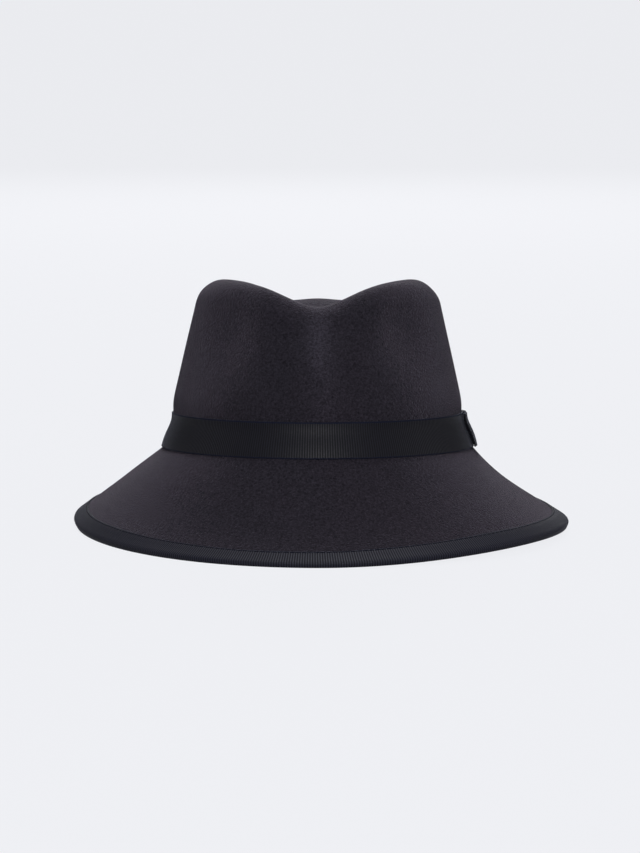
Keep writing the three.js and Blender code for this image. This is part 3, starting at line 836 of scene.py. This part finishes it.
def make_ribbon(name, shaded_valley_colour, light, blue, selvedges, sheen_weight):
    """Ribbed ribbon: the ribs are in the mesh; the material adds yarns, painted shade in rib valleys, blue
    edges.
    """
    made, n, shader = material(name)
    uv = place_in(n, "UV")
    yarn = group_in(n, fine_yarns, UV=uv, Along_per_mm=2.4, Across_per_mm=3.2)
    parts = n.add("ShaderNodeSeparateXYZ")
    n.link(uv, parts.inputs[0])
    along, across = parts.outputs[0], parts.outputs[1]
    edge = 0.0
    # Blue selvedge lines along the given edges; on the folded binding they also carry painted seam shade.
    for line in selvedges:
        ragged = n.math("MULTIPLY_ADD", n.noise(n.scaled(uv, (0.6, 0.2, 1)), 1.0, 1.0), 0.5, -0.25)
        off = n.math("ABSOLUTE", n.math("SUBTRACT", n.math("ADD", across, ragged), line))
        edge = n.math("MAXIMUM", edge, n.spread(off, 0.62, 0.36))
    # Painted shade: the colour darkens from the rib tops into the valleys between them.
    rib = n.math("ABSOLUTE", n.math("SINE", n.math("MULTIPLY", along, math.pi / RIB_PITCH)))
    rib = n.math("POWER", rib, 2.2)
    tone = n.math("MULTIPLY", rib, n.spread(yarn["Shade"], 0.2, 0.8, 0.6, 1.0), clamp=True)
    n.link(n.mix(edge, n.mix(tone, shaded_valley_colour, light), blue), shader.inputs["Base Color"])
    n.link(n.math("MAXIMUM", n.spread(tone, 0.0, 1.0, 0.80, 0.36), n.math("MULTIPLY", edge, 0.9)),
           shader.inputs["Roughness"])
    shader.inputs["Specular IOR Level"].default_value = 0.24
    sheen(shader, sheen_weight, 0.2, (0.74, 0.78, 1.0))
    raise_surface(n, shader, n.math("MULTIPLY_ADD", yarn["Height"], 0.35, rib), 0.3, 0.0001)
    return made


def make_thread():
    made, n, shader = material("navy sewing thread")
    uv = place_in(n, "UV")
    twist = n.add("ShaderNodeTexWave", wave_type="BANDS", bands_direction="DIAGONAL")
    n.link(n.scaled(uv, (1.2, 1.2, 1.0)), twist.inputs["Vector"])
    twist.inputs["Scale"].default_value = 1.0
    n.link(n.mix(twist.outputs["Fac"], (0.0008, 0.0012, 0.0045, 1), (0.0028, 0.0042, 0.0150, 1)),
           shader.inputs["Base Color"])
    n.link(n.spread(twist.outputs["Fac"], 0, 1, 0.75, 0.9), shader.inputs["Roughness"])
    shader.inputs["Specular IOR Level"].default_value = 0.12
    raise_surface(n, shader, twist.outputs["Fac"], 0.4, 0.00008)
    return made


def make_leather():
    made, n, shader = material("brown sweatband leather")
    place = place_in(n)
    dye = group_in(n, uneven_dye, Place=place, Grain_per_m=700.0)
    pebble = n.add("ShaderNodeTexVoronoi", feature="DISTANCE_TO_EDGE")
    n.link(place, pebble.inputs["Vector"])
    pebble.inputs["Scale"].default_value = 900.0
    grain = n.spread(pebble.outputs["Distance"], 0.0, 0.25)
    tone = n.math("ADD", n.math("MULTIPLY", dye["Slow"], 0.6), n.math("MULTIPLY", grain, 0.4), clamp=True)
    n.link(n.mix(tone, (0.020, 0.011, 0.007, 1), (0.060, 0.033, 0.019, 1)), shader.inputs["Base Color"])
    n.link(n.spread(dye["Fine"], 0, 1, 0.38, 0.55), shader.inputs["Roughness"])
    raise_surface(n, shader, n.math("ADD", grain, n.math("MULTIPLY", dye["Fine"], 0.5)), 0.35, 0.0002)
    return made


def make_satin():
    made, n, shader = material("grey satin")
    uv = place_in(n, "UV")
    yarn = group_in(n, fine_yarns, UV=uv, Along_per_mm=4.0, Across_per_mm=1.3)
    n.link(n.mix(yarn["Shade"], (0.030, 0.029, 0.038, 1), (0.058, 0.056, 0.070, 1)),
           shader.inputs["Base Color"])
    n.link(n.spread(yarn["Shade"], 0.2, 0.8, 0.26, 0.40), shader.inputs["Roughness"])
    shader.inputs["Anisotropic"].default_value = 0.5
    sheen(shader, 0.15, 0.3, (0.9, 0.9, 1.0))
    raise_surface(n, shader, yarn["Height"], 0.25, 0.0001)
    return made


def make_reed():
    made, n, shader = material("clear white reed")
    dye = group_in(n, uneven_dye, Place=place_in(n), Grain_per_m=400.0)
    n.link(n.mix(dye["Slow"], (0.52, 0.50, 0.44, 1), (0.66, 0.64, 0.58, 1)), shader.inputs["Base Color"])
    n.link(n.spread(dye["Fine"], 0, 1, 0.30, 0.42), shader.inputs["Roughness"])
    raise_surface(n, shader, dye["Fine"], 0.1, 0.0001)
    return made


FELT_DARK = (0.0030, 0.0026, 0.0045, 1)
FELT_LIGHT = (0.0455, 0.0410, 0.0560, 1)
FELT_PLUM = (0.0520, 0.0390, 0.0550, 1)
uneven_dye = mottle_group()
fine_yarns = weave_group()
felt = make_felt()
grosgrain = make_ribbon("black grosgrain", (0.0006, 0.0006, 0.0022, 1), (0.0078, 0.0078, 0.0160, 1),
                        (0.0022, 0.0038, 0.0150, 1), (0.2, RIBBON_WIDTH - 0.8), 0.13)
# The folded binding's blue edge lines are its selvedges, made darker as painted shade along the seam where it
# meets the felt.
folded_grosgrain = make_ribbon("black grosgrain, folded", (0.0026, 0.0027, 0.0062, 1),
                               (0.0235, 0.0240, 0.0420, 1), (0.0012, 0.0022, 0.0110, 1),
                               (0.3, 2 * BINDING_WIDTH + 3.1), 0.09)
tape_weave = make_ribbon("black reed tape", (0.004, 0.004, 0.005, 1), (0.016, 0.016, 0.019, 1),
                         (0.010, 0.010, 0.014, 1), (0.2, 9.0), 0.05)
sewing_thread = make_thread()
leather = make_leather()
satin = make_satin()
reed_plastic = make_reed()

dress(felt_crown_and_brim(), felt, ["felt_body"])
hatband()
brim_binding()
seam_station = 4 - (BINDING_WIDTH - 1) / BRIM_LENGTH
stitched_thread("binding_needle_thread", seam_station, -GAP - BINDING + 0.12, -1, THREAD_RADIUS, STITCH,
                "binding_thread_upper")
stitched_thread("binding_bobbin_thread", seam_station, FELT + GAP + BINDING, 1, THREAD_RADIUS, STITCH,
                "binding_thread_lower")
bow_loops()
bow_keeper()
bow_tail()
sweatband()
ring_cord("sweatband_plastic_reed", on_wall(1.8), reed_depth, REED_RADIUS, "sweatband_reed", reed_plastic)
reed_tape()
stitched_thread("sweatband_needle_thread", on_wall(6.5), sweatband_foot_depth - 0.3 + LEATHER, 1, 0.25, 3.0,
                "sweatband_thread")
seam_zigzag()
sweatband_bow()
lining_side()
lining_tip()
ring_cord("lining_piping_cord", 1.375, lining_depth + LINING + GAP + 0.5, PIPING_RADIUS, "lining_piping",
          satin, twist=300, columns=1500, sides=10)


# ---- floor, light and camera -----------------------------------------------------------------------------
PALE = (0.8388, 0.8469, 0.8796, 1)
WORLD_STRENGTH = 0.11       # how strongly the surround and the floor light the hat, against how they look
FLOOR_STRENGTH = 0.29
FLOOR_LOOK = 0.98           # how strong the floor looks to the camera
FLOOR_HALF = 60.0
LAMPS = (
    # name, place, width and height, power
    ("left softbox", (-2.2, 0.2, 0.7), (1.0, 1.4), 4.5),
    ("right softbox", (2.2, 0.2, 0.7), (1.0, 1.4), 6.2),
    ("front softbox", (0.05, -2.4, 1.0), (0.5, 1.4), 41.0),
    ("back softbox", (0.0, 2.4, 1.2), (1.0, 1.4), 37.0),
    ("overhead softbox", (0.0, 0.5, 2.2), (1.2, 1.0), 19.0),
)


def pale_floor():
    bm = bmesh.new()
    bmesh.ops.create_grid(bm, x_segments=1, y_segments=1, size=FLOOR_HALF)
    mesh = bpy.data.meshes.new("pale_floor")
    bm.to_mesh(mesh)
    bm.free()
    floor = bpy.data.objects.new("pale_floor", mesh)
    bpy.context.scene.collection.objects.link(floor)
    made, n, shader = material("pale studio floor")
    shader.inputs["Base Color"].default_value = (0.04, 0.04, 0.042, 1)
    shader.inputs["Roughness"].default_value = 1.0
    shader.inputs["Specular IOR Level"].default_value = 0.0
    shader.inputs["Emission Color"].default_value = PALE
    seen = n.add("ShaderNodeLightPath").outputs["Is Camera Ray"]
    n.link(n.spread(seen, 0.0, 1.0, FLOOR_STRENGTH, FLOOR_LOOK), shader.inputs["Emission Strength"])
    mesh.materials.append(made)
    floor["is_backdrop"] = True


def soft_light(name, place, size, power):
    lamp = bpy.data.lights.new(name, "AREA")
    lamp.shape = "RECTANGLE"
    lamp.size, lamp.size_y = size
    lamp.energy = power
    light = bpy.data.objects.new(name, lamp)
    light.location = place
    aim = (cad_low + cad_high) / 2
    light.rotation_euler = (aim - Vector(place)).to_track_quat("-Z", "Y").to_euler()
    bpy.context.scene.collection.objects.link(light)


def studio():
    """A pale surround that lights the hat more softly than it looks, and softboxes around it."""
    world = bpy.data.worlds.new("pale studio")
    world.use_nodes = True
    n = Nodes(world.node_tree)
    backdrop = world.node_tree.nodes["Background"]
    backdrop.inputs["Color"].default_value = PALE
    seen = n.add("ShaderNodeLightPath").outputs["Is Camera Ray"]
    n.link(n.spread(seen, 0.0, 1.0, WORLD_STRENGTH, 1.0), backdrop.inputs["Strength"])
    bpy.context.scene.world = world
    bpy.context.scene.view_settings.view_transform = "Standard"
    for lamp in LAMPS:
        soft_light(*lamp)


CAMERA_DISTANCE = 2.0
CAMERA_ELEVATION = math.radians(7.98)
CAMERA_LENS = 150.7
AIM_ASIDE, AIM_HEIGHT = -0.0002, 0.0532


def camera():
    data = bpy.data.cameras.new("camera")
    data.sensor_width = 36
    data.lens = CAMERA_LENS
    view = bpy.data.objects.new("camera", data)
    low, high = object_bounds()
    aim = Vector(((low.x + high.x) / 2 + AIM_ASIDE, 0, AIM_HEIGHT))
    back = Vector((0, -math.cos(CAMERA_ELEVATION), math.sin(CAMERA_ELEVATION)))
    view.location = aim + back * CAMERA_DISTANCE
    view.rotation_euler = (-back).to_track_quat("-Z", "Y").to_euler()
    bpy.context.scene.collection.objects.link(view)
    bpy.context.scene.camera = view


pale_floor()
studio()
camera()
